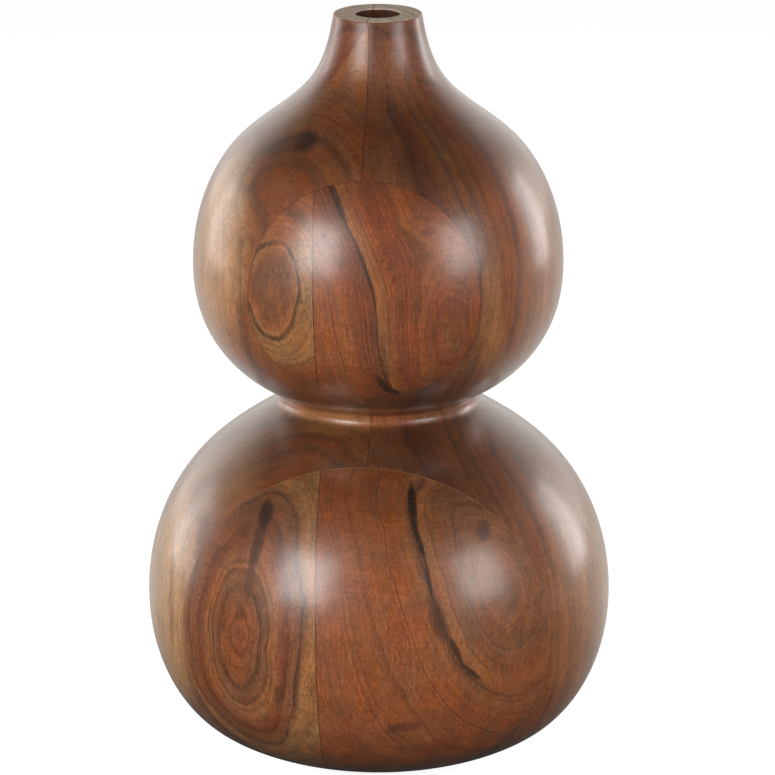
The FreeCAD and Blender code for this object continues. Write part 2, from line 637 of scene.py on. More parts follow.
@dataclass(frozen=True)
class VarnishedWood:
    """Red brown hardwood under satin varnish, with its rings, fibres, pores and glue lines."""

    name: str
    figure: Figure
    planes: tuple
    seam: float
    waist_z: float
    shift: float
    glue_tone: Tone = Tone.INK
    glue_strength: float = 0.32
    seam_strength: float = 0.90
    glue_half: float = 0.32
    glue_core: float = 0.35
    coat_weight: float = 0.35
    coat_roughness: float = 0.20
    coat_full: tuple = (0.25, 0.70)
    neck_dullness: float = 0.25
    roughness: float = 0.36
    refraction: float = 1.5
    bump: float = 0.25
    bump_depth: float = 0.05
    # Darkening where the wood faces up or down: partly end grain, partly painted shade on the shoulders and
    # undersides.
    end_grain_and_shade_darkness: float = 0.50
    end_grain_and_shade_reach: tuple = (0.30, 0.92)
    end_grain_and_shade_wander: float = 0.25
    line_least: float = 0.45
    mottle_quick: float = 0.5
    mottle_frayed: float = 1.3
    pore_roughness: float = 0.15
    cove_roughness: float = 0.02
    fray_height: float = 0.7
    pore_height: float = 0.6
    tool_pitch: float = 1.1
    tool_height: float = 0.12
    neck_tool_height: float = 1.4
    neck_torn_height: float = 2.4
    board_shift: tuple = (37.0, 53.0, 211.0)
    cool: tuple = (0.92, 1.05, 1.22)
    warm: tuple = (1.07, 0.96, 0.80)
    neck_rise: tuple = (145.0, 178.0)
    cove_reach: tuple = (9.0, 3.0)
    ring_pitch: tuple = (0.85, 0.17)
    wide_ring_depth: float = 0.45
    grains: WoodGrains = WoodGrains()

    def material(self) -> bpy.types.Material:
        """Make the material with its nodes.

        Returns:
            The material.
        """
        material, bench = new_material(self.name)
        grains = self.grains
        place = bench.place(tuple(self.shift * step for step in self.board_shift))
        x, y, z = bench.parts(bench.place((0.0, 0.0, 0.0)))
        slow = bench.noise(place, grains.slow) - 0.5
        quick = bench.noise(place, grains.quick) - 0.5
        frayed = bench.noise(place, grains.frayed)
        ring = bench.attribute("ring_mm") + slow * grains.slow.depth + quick * grains.quick.depth
        ring = ring + (frayed - 0.5) * grains.frayed.depth
        low, high = self.figure.bands[0][0], self.figure.bands[-1][0]
        share = (ring - low) / (high - low)
        shade, pores = self.shading(bench, place, ring)
        # Painted shade and end grain together: the wood is darkened where it faces up or down.
        ends = (bench.attribute("end_grain") + slow * self.end_grain_and_shade_wander).rise(*self.end_grain_and_shade_reach)
        shade = shade * (1.0 - ends * self.end_grain_and_shade_darkness)
        colour = bench.scaled(bench.ramp(self.figure.band_stops(), share), shade)
        warmth = bench.mixed(bench.mask(place, grains.warmth), self.cool, self.warm)
        colour = bench.vector("MULTIPLY", colour, warmth)
        lasting = self.line_least + bench.mask(place, grains.fade) * (1.0 - self.line_least)
        density = bench.ramp(self.figure.line_stops(), share) * lasting
        colour = bench.mixed(density, colour, Tone.INK.value)
        colour = bench.mixed(pores, colour, Tone.INK.value)
        mottle = quick * self.mottle_quick + (frayed - 0.5) * self.mottle_frayed
        mottle = mottle + bench.swing(place, grains.patches)
        for spot in self.figure.spots:
            tint = bench.scaled(spot.tone.value, shade)
            colour = bench.mixed(self.spot_mask(spot, x, z, mottle), colour, tint)
        colour = bench.mixed(self.plane_mask(y), colour, self.glue_tone.value)
        colour = bench.mixed(self.seam_mask(x, z), colour, Tone.INK.value)
        neck = z.rise(*(self.waist_z + rise for rise in self.neck_rise))
        cove = abs(z - self.waist_z).rise(*self.cove_reach)
        polish = self.roughness + bench.swing(place, grains.polish)
        polish = polish + pores * self.pore_roughness + cove * self.cove_roughness
        tooling = bench.line_noise(z * self.tool_pitch) * (self.tool_height + neck * self.neck_tool_height)
        torn = bench.noise(place, grains.torn) * (neck * self.neck_torn_height)
        height = frayed * self.fray_height - pores * self.pore_height + tooling + torn
        shader = bench.wire("ShaderNodeBsdfPrincipled", None, {
            "Base Color": colour, "Roughness": polish, "IOR": self.refraction,
            "Coat Weight": self.coat(bench, neck), "Coat Roughness": self.coat_roughness,
            "Normal": bench.bumped(height, self.bump, self.bump_depth)})
        bench.finish(shader)
        return material

    def shading(self, bench: ShaderBench, place: Wire, ring: Wire) -> tuple[Wire, Wire]:
        """The light and dark of rings and fibres, and the mask of the open pores.

        Args:
            bench: The material's bench.
            place: The position in millimetres, moved for this board.
            ring: The ring value with its wobble.

        Returns:
            The factor on the colour, and the pores' mask.
        """
        grains = self.grains
        fine_pitch, wide_pitch = self.ring_pitch
        fine_rings = bench.line_noise(ring * fine_pitch + self.shift)
        wide_rings = bench.line_noise(ring * wide_pitch + self.shift)
        shade = 1.0 + (fine_rings - 0.5) * self.figure.fine + (wide_rings - 0.5) * self.wide_ring_depth
        ripple = replace(grains.ripple, depth=2 * self.figure.ripple)
        for grain in (grains.fibre, grains.hair, ripple, grains.chatter, grains.blotch):
            shade = shade * (1.0 + bench.swing(place, grain))
        pores = bench.mask(place, grains.dots) * bench.mask(place, grains.zones)
        return shade, pores * self.figure.pores

    def coat(self, bench: ShaderBench, neck: Wire) -> Wire:
        """The varnish: thin on the neck, and a full mirror where it is seen at a low angle.

        Args:
            bench: The material's bench.
            neck: The mask of the neck.

        Returns:
            The weight of the varnish.
        """
        facing = bench.wire("ShaderNodeLayerWeight", None, {"Blend": 0.5}, "Facing")
        film = self.coat_weight - neck * self.neck_dullness
        return film + facing.rise(*self.coat_full) * (1.0 - film)

    def spot_mask(self, spot: Spot, x: Wire, z: Wire, mottle: Wire) -> Wire:
        """The mask of one spot.

        Args:
            spot: The spot.
            x: The place across the front in millimetres.
            z: The height in millimetres.
            mottle: A noise around 0 that makes the edge uneven.

        Returns:
            The mask.
        """
        turn = math.radians(spot.turn)
        across = (x - spot.x) * math.cos(turn) + (z - spot.z) * math.sin(turn)
        along = (z - spot.z) * math.cos(turn) - (x - spot.x) * math.sin(turn)
        reach = (across / spot.width) ** 2 + (along / spot.height) ** 2
        return (reach + mottle).rise(1.0 + spot.soft, 1.0 - spot.soft) * spot.strength

    def glue_mask(self, gap: Wire, strength: float) -> Wire:
        """The mask of a glue line, by the distance from its plane."""
        return gap.rise(self.glue_half, self.glue_half * self.glue_core) * strength

    def plane_mask(self, y: Wire) -> Wire:
        """The mask of the glue lines at the front and back of the board.

        Args:
            y: The place from front to back in millimetres.

        Returns:
            The mask.
        """
        gap = abs(y - self.planes[0])
        for plane in self.planes[1:]:
            gap = gap.least(abs(y - plane))
        return self.glue_mask(gap, self.glue_strength)

    def seam_mask(self, x: Wire, z: Wire) -> Wire:
        """The mask of the seam to the other board of the layer."""
        gap = abs(x - self.seam + (z - self.waist_z) * math.tan(math.radians(SEAM_LEAN)))
        return self.glue_mask(gap, self.seam_strength)


@dataclass(frozen=True)
class BareEndGrain:
    """Unvarnished end grain on the rim and in the bore, greyed and a little dirty; the rim top's colours are
    raised as painted light from above.
    """

    name: str = "wood_bare_end_grain"
    # The rim top's pale and dark, made lighter than the wood to paint in light from above.
    pale: tuple = (0.880, 0.720, 0.570)
    dark: tuple = (0.460, 0.310, 0.220)
    bore_pale: tuple = (0.105, 0.030, 0.013)
    bore_dark: tuple = (0.038, 0.012, 0.007)
    pith: tuple = (-60.0, -45.0)
    ring_pitch: float = 0.30
    dirt: Grain = Grain((2.2, 2.2, 2.2), 4.0, 0.6)
    pores: Grain = Grain((0.28, 0.28, 2.0), 1.0, cut=(0.62, 0.70))
    streaks: Grain = Grain((1.6, 1.6, 14.0), 3.0, 0.6, cut=(0.30, 0.66))
    band_cut: tuple = (0.25, 0.75)
    band_weight: float = 0.45
    dirt_weight: float = 0.75
    grey: float = 0.12
    mouth_reach: tuple = (1.0, 0.3)
    seam_reach: tuple = (0.35, 0.12)
    seam_strength: float = 0.75
    pore_strength: float = 0.5
    pore_height: float = 0.6
    roughness: float = 0.62
    dirt_roughness: float = 0.3
    shine: float = 0.2
    bump: float = 0.5
    bump_depth: float = 0.08

    def material(self, outline: TurnedOutline) -> bpy.types.Material:
        """Make the material, darker down the bore than on the rim.

        Args:
            outline: The turned outline, for the heights of its rim and waist.

        Returns:
            The material.
        """
        material, bench = new_material(self.name)
        place = bench.place((0.0, 0.0, 0.0))
        x, _, z = bench.parts(place)
        pith_x, pith_y = self.pith
        from_pith = bench.vector("ADD", place, (-pith_x, -pith_y, -outline.rim_z))
        rings = bench.vector("LENGTH", from_pith, output="Value")
        bands = bench.line_noise(rings * self.ring_pitch).rise(*self.band_cut)
        dirt = bench.noise(place, self.dirt)
        pores = bench.mask(place, self.pores)
        paleness = bands * self.band_weight + dirt * self.dirt_weight - self.grey
        # The rim top's colour, with painted light from above in its raised pale and dark.
        rim_top_with_painted_light = bench.mixed(paleness, self.dark, self.pale)
        inside = bench.mixed(bench.mask(place, self.streaks), self.bore_dark, self.bore_pale)
        above = z.rise(*(outline.rim_z - reach for reach in self.mouth_reach))
        colour = bench.mixed(above, inside, rim_top_with_painted_light)
        colour = bench.mixed(pores * self.pore_strength, colour, Tone.INK.value)
        seam = abs(x + (z - outline.waist_z) * math.tan(math.radians(SEAM_LEAN)))
        colour = bench.mixed(seam.rise(*self.seam_reach) * self.seam_strength, colour, Tone.INK.value)
        shader = bench.wire("ShaderNodeBsdfPrincipled", None, {
            "Base Color": colour, "Roughness": self.roughness + (dirt - 0.5) * self.dirt_roughness,
            "Specular IOR Level": self.shine,
            "Normal": bench.bumped(dirt - pores * self.pore_height, self.bump, self.bump_depth)})
        bench.finish(shader)
        return material


@dataclass(frozen=True)
class PressedFelt:
    """Dark brown pressed felt."""

    name: str = "felt_dark_brown"
    deep: tuple = (0.030, 0.018, 0.012)
    fluff: tuple = (0.085, 0.054, 0.038)
    tangle: Grain = Grain((0.35, 0.35, 0.35), 4.0, 0.7, bend=1.2)
    clumps: Grain = Grain((2.4, 2.4, 2.4), 3.0)
    tangle_weight: float = 0.75
    clump_weight: float = 0.35
    roughness: float = 0.95
    fuzz: float = 0.3
    bump: float = 0.8
    bump_depth: float = 0.12

    def material(self) -> bpy.types.Material:
        """Make the material with its tangled fibres.

        Returns:
            The material.
        """
        material, bench = new_material(self.name)
        place = bench.place((0.0, 0.0, 0.0))
        tangle, clumps = bench.noise(place, self.tangle), bench.noise(place, self.clumps)
        paleness = tangle * self.tangle_weight + clumps * self.clump_weight
        shader = bench.wire("ShaderNodeBsdfPrincipled", None, {
            "Base Color": bench.mixed(paleness, self.deep, self.fluff), "Roughness": self.roughness,
            "Normal": bench.bumped(tangle, self.bump, self.bump_depth), "Sheen Weight": self.fuzz})
        bench.finish(shader)
        return material


# The figures of the six boards that show in front
FRONT_UPPER_CAP_LEFT = Figure(
    rings=RingLines((
        (0, (-44, 262)),
        (10, (-45, 285), (-54.6, 273), (-54.8, 252), (-48, 239), (-37, 241), (-32, 256), (-32, 277),
         (-37, 284)),
        (15, (-50, 290), (-28, 277), (-26, 244), (-38, 228), (-53, 235)),
        (20, (-52, 295), (-29, 296), (-29, 226), (-47, 225)),
    )),
    bands=(
        (-1, Tone.BROWN), (6, Tone.BROWN), (8.4, Tone.COPPER), (9.6, Tone.GOLD), (19, Tone.GOLD),
        (22, Tone.COPPER), (26, Tone.RUSSET), (42, Tone.RUSSET),
    ),
    lines=(
        (4, 0.12, 0.8), (10, 0.80, 0.9), (11.9, 0.20, 0.5), (15, 0.25, 0.6), (20, 0.35, 0.6),
        (27, 0.25, 0.8), (33, 0.25, 0.6),
    ),
    spots=(
        Spot(-40.0, 294.0, 20.0, 9.5, Tone.RUSSET, 0.85, 0.0, 0.8),
        Spot(-33.5, 299.5, 9.0, 3.6, Tone.INK, 0.42, -38.0, 0.9),
    ),
    pores=0.85,
)

FRONT_UPPER_CAP_RIGHT = Figure(
    rings=RingLines((
        (0, (-16, 267), (-13, 249), (-9, 228), (-4, 210)),
        (22, (-17, 314), (-8, 299), (3, 275), (8, 251), (10, 229), (16, 210)),
        (28, (-6, 308), (5, 287), (12, 266), (13, 241), (17, 218)),
        (43, (8, 315), (17, 295), (26, 270), (26, 246), (26, 219)),
        (50, (36, 251), (44, 259), (50, 246), (45, 227), (36, 234), (35, 242)),
        (56, (40, 247), (43, 250), (46, 246), (47, 238), (44, 232), (40, 237)),
        (58, (43, 242)),
        (44, (55, 262), (54, 242), (49, 222), (37, 288), (47, 283)),
    )),
    bands=(
        (-17, Tone.RUSSET), (6, Tone.RUSSET), (14, Tone.REDDISH), (21.6, Tone.SMOKE), (22.6, Tone.AMBER),
        (27.4, Tone.COPPER), (29, Tone.RUSSET), (33, Tone.REDDISH), (40, Tone.REDDISH), (44, Tone.RUSSET),
        (50, Tone.REDDISH), (58, Tone.BROWN),
    ),
    lines=(
        (0, 0.35, 0.7), (10, 0.15, 1.0), (21.5, 0.70, 0.8), (28, 0.50, 0.6), (34, 0.25, 0.8),
        (43, 0.30, 1.8), (51, 0.30, 0.7),
    ),
    spots=(
        Spot(-13.0, 307.0, 1.9, 11.0, Tone.INK, 0.75, 27.0, 0.6),
        Spot(2.0, 276.0, 1.1, 14.0, Tone.INK, 0.5, 20.0, 0.6),
        Spot(11.0, 228.0, 1.3, 16.0, Tone.INK, 0.5, 6.0, 0.6),
        Spot(9.2, 216.5, 1.6, 5.5, Tone.INK, 0.85, 28.0, 0.8),
        Spot(13.5, 211.8, 4.5, 1.5, Tone.INK, 0.85, -22.0, 0.7),
        Spot(16.2, 271.7, 1.3, 2.0, Tone.INK, 0.4, 0.0, 0.9),
        Spot(41.1, 259.0, 1.4, 2.6, Tone.UMBER, 0.4, 0.0, 0.9),
        Spot(38.1, 275.2, 1.4, 2.4, Tone.UMBER, 0.4, 0.0, 0.9),
        Spot(18.2, 224.3, 1.5, 2.5, Tone.UMBER, 0.5, 0.0, 0.9),
        Spot(31.1, 292.2, 3.5, 2.5, Tone.MAROON, 0.5, 20.0, 0.9),
        Spot(-18.1, 290.6, 0.8, 0.8, Tone.INK, 0.9),
        Spot(55.6, 268.0, 0.9, 24.0, Tone.INK, 0.55, 5.0, 0.8),
    ),
    ripple=0.14,
    fine=0.75,
)

FRONT_LOWER_CAP_LEFT = Figure(
    rings=RingLines((
        (0, (-58, 93)),
        (4, (-58, 110), (-63, 89), (-58, 82), (-55, 104)),
        (9, (-57, 117), (-67, 103), (-68, 77), (-58, 65), (-50, 78), (-50, 107), (-53, 115)),
        (13, (-47, 117), (-46, 88), (-53, 60), (-66, 60), (-73, 87), (-70, 112), (-65, 122)),
        (20, (-67, 133), (-77, 112), (-80, 82), (-72, 53), (-48, 42), (-37, 63), (-35, 105), (-43, 148)),
        (24, (-85, 107), (-86, 76), (-74, 47), (-50, 33), (-39, 35)),
        (23, (-65, 147), (-44, 158), (-32, 149), (-27, 115), (-32, 64), (-36, 42)),
        (30, (-27, 165), (-20, 134), (-23, 70), (-32, 41)),
    )),
    bands=(
        (-1, Tone.REDDISH), (4, Tone.RUSSET), (8.5, Tone.COPPER), (10, Tone.BROWN), (14, Tone.AMBER),
        (17, Tone.COPPER), (19, Tone.REDDISH), (21, Tone.COPPER), (23, Tone.BROWN), (26, Tone.GOLD),
        (30, Tone.GOLD), (51, Tone.GOLD),
    ),
    lines=(
        (4, 0.50, 0.5), (6.4, 0.35, 0.5), (9, 0.65, 0.8), (13, 0.45, 0.6), (20, 0.50, 0.6),
        (23.5, 0.65, 0.45), (30, 0.45, 0.5),
    ),
    spots=(
        Spot(-55.0, 128.0, 5.5, 24.0, Tone.BROWN, 0.6, -12.0, 0.9),
        Spot(-47.4, 150.5, 3.4, 5.5, Tone.INK, 0.75, -14.0, 0.6),
        Spot(-50.4, 138.5, 2.6, 13.5, Tone.INK, 0.70, -14.0, 0.7),
        Spot(-54.0, 121.0, 2.2, 10.0, Tone.UMBER, 0.55, -8.0, 0.8),
        Spot(-39.0, 66.0, 2.4, 6.0, Tone.INK, 0.5, -10.0, 0.9),
        Spot(-30.0, 72.0, 1.2, 18.0, Tone.INK, 0.45, -6.0, 0.9),
    ),
    pores=0.90,
    fine=0.75,
)

FRONT_LOWER_CAP_RIGHT = Figure(
    rings=RingLines((
        (6, (-17, 134), (-15, 107), (-12, 87), (-9, 72), (-3, 55), (5, 40)),
        (24, (-8, 159), (4, 119), (11, 98), (22, 71), (31, 53)),
        (38, (9, 171), (12, 148), (18, 125), (27, 98), (38, 71), (58, 45), (70, 38)),
        (56, (28, 164), (22, 158), (25, 145), (31, 130), (39, 109), (46, 87), (57, 72), (71, 62), (87, 66)),
        (65, (31, 162), (36, 145), (43, 125), (51, 101), (62, 80), (80, 75), (87, 82)),
        (74, (41, 156), (46, 137), (53, 114), (62, 95), (78, 88), (85, 108), (78, 133), (59, 153)),
        (84, (59, 114), (69, 99), (78, 110), (69, 132), (57, 127)),
        (90, (68, 117)),
    )),
    bands=(
        (-39, Tone.RUSSET), (24, Tone.RUSSET), (46, Tone.RUSSET), (52, Tone.COPPER), (54.6, Tone.BROWN),
        (57, Tone.BROWN), (57.8, Tone.COPPER), (61, Tone.AMBER), (65, Tone.COPPER), (72, Tone.BROWN),
        (82, Tone.COPPER), (91, Tone.BROWN),
    ),
    lines=(
        (24, 0.35, 0.6), (38, 0.40, 0.7), (55.8, 0.55, 0.7), (64, 0.5, 0.9), (74, 0.4, 0.8),
        (82, 0.4, 0.7),
    ),
    spots=(
        Spot(58.2, 144.2, 3.2, 4.2, Tone.UMBER, 0.85, 20.0, 0.7),
        Spot(21.8, 51.0, 9.0, 2.8, Tone.MAROON, 0.80, 8.0, 0.9),
        Spot(24.4, 156.5, 2.0, 9.5, Tone.INK, 0.95, 10.0, 0.5),
        Spot(28.3, 142.5, 1.4, 8.5, Tone.INK, 0.95, 22.0, 0.5),
        Spot(33.4, 126.0, 1.1, 9.0, Tone.INK, 0.80, 12.0, 0.5),
        Spot(38.5, 106.0, 3.4, 13.0, Tone.INK, 0.60, 20.0, 0.9),
        Spot(47.0, 90.5, 1.4, 9.0, Tone.INK, 0.85, 23.0, 0.6),
        Spot(54.2, 78.5, 1.2, 7.0, Tone.INK, 0.80, 42.0, 0.6),
        Spot(80.0, 72.0, 18.0, 14.0, Tone.RUSSET, 0.75, 25.0, 0.9),
    ),
    ripple=0.18,
    fine=0.60,
)

FRONT_INNER_LEFT = Figure(
    rings=RingLines((
        (10, (-56, 307), (-52, 313), (-45, 316), (-36, 318), (-30, 317), (-24, 314)),
        (20, (-61, 311), (-47, 324), (-32, 331), (-19, 329), (-7, 319)),
        (27, (-68, 309), (-48, 329), (-22, 336), (-5, 327), (-2, 319)),
        (36, (-54, 330), (-37, 341), (-21, 346), (-11, 343), (-3, 336)),
        (20, (-62, 286), (-63, 267), (-62, 247), (-59, 229)),
        (30, (-74, 283), (-75, 263), (-74, 243), (-69, 225)),
        (24, (-44, 187), (-25, 190), (-4, 191)),
        (18, (-87, 157), (-66, 172), (-43, 182), (-26, 185), (-10, 184), (-1, 179)),
        (12, (-83, 155), (-66, 168), (-42, 179), (-26, 182), (-11, 180), (-2, 174)),
        (5, (-68, 159), (-52, 169), (-33, 176), (-18, 175), (-11, 171)),
        (12, (-93, 118), (-93, 99), (-93, 79), (-91, 61)),
        (22, (-100, 114), (-101, 95), (-101, 74), (-98, 56)),
        (12, (-74, 36), (-57, 23)),
    )),
    bands=(
        (-1, Tone.RUSSET), (5, Tone.BROWN), (9, Tone.RUSSET), (11, Tone.BROWN), (15, Tone.COPPER),
        (19, Tone.BROWN), (23, Tone.COPPER), (29, Tone.RUSSET), (36, Tone.BROWN), (43, Tone.RUSSET),
    ),
    lines=(
        (5, 0.35, 1.8), (11, 0.35, 1.4), (15.5, 0.20, 0.6), (20, 0.42, 1.6), (25, 0.22, 0.6),
        (29, 0.25, 0.6),
    ),
    spots=(
        # Pale sapwood at the far left of the lower gourd, made brighter partly as painted light and
        # reflection of the left strip lamp.
        Spot(-105.0, 102.0, 20.0, 78.0, Tone.TAN, 0.85, 0.0, 0.8),
        # Pale wood at the left edge of the upper gourd, partly a painted highlight where the left strip lamp
        # shows.
        Spot(-81.0, 288.0, 21.0, 66.0, Tone.TAN, 0.70, 0.0, 0.9),
        Spot(-42.0, 344.0, 17.0, 12.0, Tone.GOLD, 0.65, 0.0, 0.9),
        Spot(-72.0, 160.0, 20.0, 14.0, Tone.GOLD, 0.85, 30.0, 0.9),
        # Paler wood on the left of the neck, partly a painted highlight of the front left softbox.
        Spot(-7.0, 368.0, 6.5, 14.0, Tone.GOLD, 0.7, 0.0, 0.8),
        Spot(-18.0, 189.0, 24.0, 6.0, Tone.GOLD, 0.80, 0.0, 0.95),
        Spot(-40.0, 325.5, 15.0, 3.0, Tone.INK, 0.40, 18.0, 0.9),
        Spot(-30.5, 328.5, 6.0, 3.8, Tone.INK, 0.60, 35.0, 0.8),
        Spot(-97.0, 98.0, 1.3, 28.0, Tone.BROWN, 0.60, 0.0, 0.9),
    ),
)

FRONT_INNER_RIGHT = Figure(
    rings=RingLines((
        (0, (0, 354), (0, 342), (1, 331), (2, 321)),
        (20, (2, 364), (8, 341), (14, 334), (19, 328), (22, 322), (25, 313)),
        (32, (11, 354), (32, 326), (42, 312), (51, 294), (56, 276)),
        (41, (49, 318), (58, 299), (64, 280), (65, 245), (56, 220)),
        (54, (62, 320), (77, 287), (78, 251), (68, 217)),
        (62, (84, 281), (85, 262), (85, 242)),
        (20, (16, 191), (19, 181), (23, 177), (27, 172), (31, 167)),
        (32, (33, 198), (36, 185), (42, 177), (48, 168), (54, 161), (59, 155)),
        (37, (41, 187), (48, 175), (56, 166), (63, 155), (70, 145)),
        (48, (59, 172), (80, 145), (93, 110), (92, 57), (83, 36)),
        (60, (83, 159), (96, 137), (103, 114), (105, 94), (104, 73), (100, 50)),
    )),
    bands=(
        (-8, Tone.REDDISH), (6, Tone.BROWN), (18, Tone.SMOKE), (21, Tone.MAROON), (26, Tone.SMOKE),
        (31, Tone.BROWN), (37, Tone.BROWN), (42, Tone.RUSSET), (46, Tone.RUSSET), (49, Tone.REDDISH),
        (52, Tone.RUSSET), (57, Tone.COPPER), (62, Tone.AMBER), (70, Tone.GOLD),
    ),
    lines=(
        (5, 0.25, 0.6), (20, 0.45, 1.0), (32, 0.60, 0.8), (37, 0.35, 0.5), (41, 0.28, 1.4),
        (48, 0.35, 1.4), (54, 0.25, 1.0),
    ),
    spots=(
        Spot(61.5, 240.0, 5.5, 34.0, Tone.GOLD, 0.75, 0.0, 0.9),
        Spot(11.0, 360.0, 9.0, 16.0, Tone.BROWN, 0.75, 20.0, 0.9),
        Spot(9.0, 190.0, 15.0, 6.0, Tone.RUSSET, 0.70, 0.0, 0.9),
        Spot(101.0, 112.0, 13.0, 62.0, Tone.GOLD, 0.60, 0.0, 0.95),
        Spot(80.0, 250.0, 9.0, 50.0, Tone.AMBER, 0.40, 0.0, 0.95),
        Spot(27.6, 319.3, 4.0, 2.0, Tone.MAROON, 0.5, -20.0),
        Spot(17.2, 185.3, 2.5, 1.5, Tone.MAROON, 0.4),
    ),
    pores=0.90,
)


def mixed_bands(low: float, high: float, seed: int, tones: tuple) -> tuple[tuple, tuple]:
    """Bands and lines of uneven widths for a board that the front view hardly shows.

    Args:
        low: The lowest ring.
        high: The highest ring.
        seed: The number that sets the widths.
        tones: The tones to draw the bands from.

    Returns:
        The bands and the thin lines.
    """
    least_width, widest_share, most_bands, end_margin = 5, 1 / 7, 14, 9
    line_count, line_margin, darkness, half_width = 5, 3, (0.2, 0.7), (0.5, 1.0)
    draw = np.random.RandomState(seed)
    bands, ring = [(low, tones[0])], low
    while ring < high - end_margin and len(bands) < most_bands:
        ring += draw.uniform(least_width, (high - low) * widest_share)
        bands.append((ring, tones[draw.randint(len(tones))]))
    bands.append((high, tones[-1]))
    places = np.sort(draw.uniform(low + line_margin, high - line_margin, line_count))
    lines = tuple((float(place), float(draw.uniform(*darkness)), float(draw.uniform(*half_width)))
                  for place in places)
    return tuple(bands), lines


def pith_figure(rings: PithRings, low: float, high: float, seed: int, tones: tuple) -> Figure:
    """A figure for a board whose rings run round a pith line."""
    bands, lines = mixed_bands(low, high, seed, tones)
    return Figure(rings=rings, bands=bands, lines=lines)


# The tones of the back boards, and the figure that both core boards share
DARK_MIX = (Tone.RUSSET, Tone.AMBER, Tone.SMOKE, Tone.RUSSET, Tone.REDDISH, Tone.RUSSET)
CORE_BANDS = ((30, Tone.RUSSET), (55, Tone.REDDISH), (74, Tone.RUSSET), (90, Tone.BROWN),
              (97, Tone.REDDISH), (108, Tone.RUSSET), (126, Tone.COPPER), (136, Tone.AMBER),
              (150, Tone.GOLD), (185, Tone.TAN))
CORE_LINES = ((62, 0.5, 0.8), (81, 0.4, 0.7), (93, 0.6, 1.0), (101, 0.5, 0.8), (118, 0.4, 0.8),
              (131, 0.5, 0.7))


@dataclass(frozen=True)
class Board:
    """One board of the blank: its node, its place and its figure."""

    node: str
    layer: Layer
    side: Side
    figure: Figure
    upper: bool | None = None
    glue_tone: Tone = Tone.INK


def all_boards() -> list[Board]:
    """Every board of the vase with its figure.

    Returns:
        The boards. A board's place in the list also moves the grain in its wood.
    """
    left, right = Side.LEFT, Side.RIGHT
    return [
        Board("front_upper_cap_left", Layer.FRONT_CAP, left, FRONT_UPPER_CAP_LEFT, True),
        Board("front_upper_cap_right", Layer.FRONT_CAP, right, FRONT_UPPER_CAP_RIGHT, True),
        Board("front_lower_cap_left", Layer.FRONT_CAP, left, FRONT_LOWER_CAP_LEFT, False, Tone.TAN),
        Board("front_lower_cap_right", Layer.FRONT_CAP, right, FRONT_LOWER_CAP_RIGHT, False, Tone.TAN),
        Board("front_inner_board_left", Layer.FRONT_INNER, left, FRONT_INNER_LEFT),
        Board("front_inner_board_right", Layer.FRONT_INNER, right, FRONT_INNER_RIGHT),
        Board("core_board_left", Layer.CORE, left,
              Figure(PithRings(34, 62, 0.0, 0.0, 1.2), CORE_BANDS, CORE_LINES)),
        Board("core_board_right", Layer.CORE, right,
              Figure(PithRings(-38, 58, -0.02, 0.0, 1.2), CORE_BANDS, CORE_LINES)),
        Board("back_inner_board_left", Layer.BACK_INNER, left,
              pith_figure(PithRings(22, -18, 0.04, 0.02), 50, 150, 5, DARK_MIX)),
        Board("back_inner_board_right", Layer.BACK_INNER, right,
              pith_figure(PithRings(-28, -30, -0.03, 0.02), 60, 160, 12, DARK_MIX)),
        Board("back_upper_cap_left", Layer.BACK_CAP, left,
              pith_figure(PithRings(-20, 30, 0.02, 0.0, 2.0), 40, 90, 21, DARK_MIX), True),
        Board("back_upper_cap_right", Layer.BACK_CAP, right,
              pith_figure(PithRings(44, 36, 0.0, 0.02, 2.0), 35, 90, 17, DARK_MIX), True),
        Board("back_lower_cap_left", Layer.BACK_CAP, left,
              pith_figure(PithRings(-30, 44, 0.0, 0.0, 2.0), 35, 90, 33, DARK_MIX), False),
        Board("back_lower_cap_right", Layer.BACK_CAP, right,
              pith_figure(PithRings(60, 40, 0.02, 0.0, 2.0), 30, 90, 41, DARK_MIX), False),
    ]


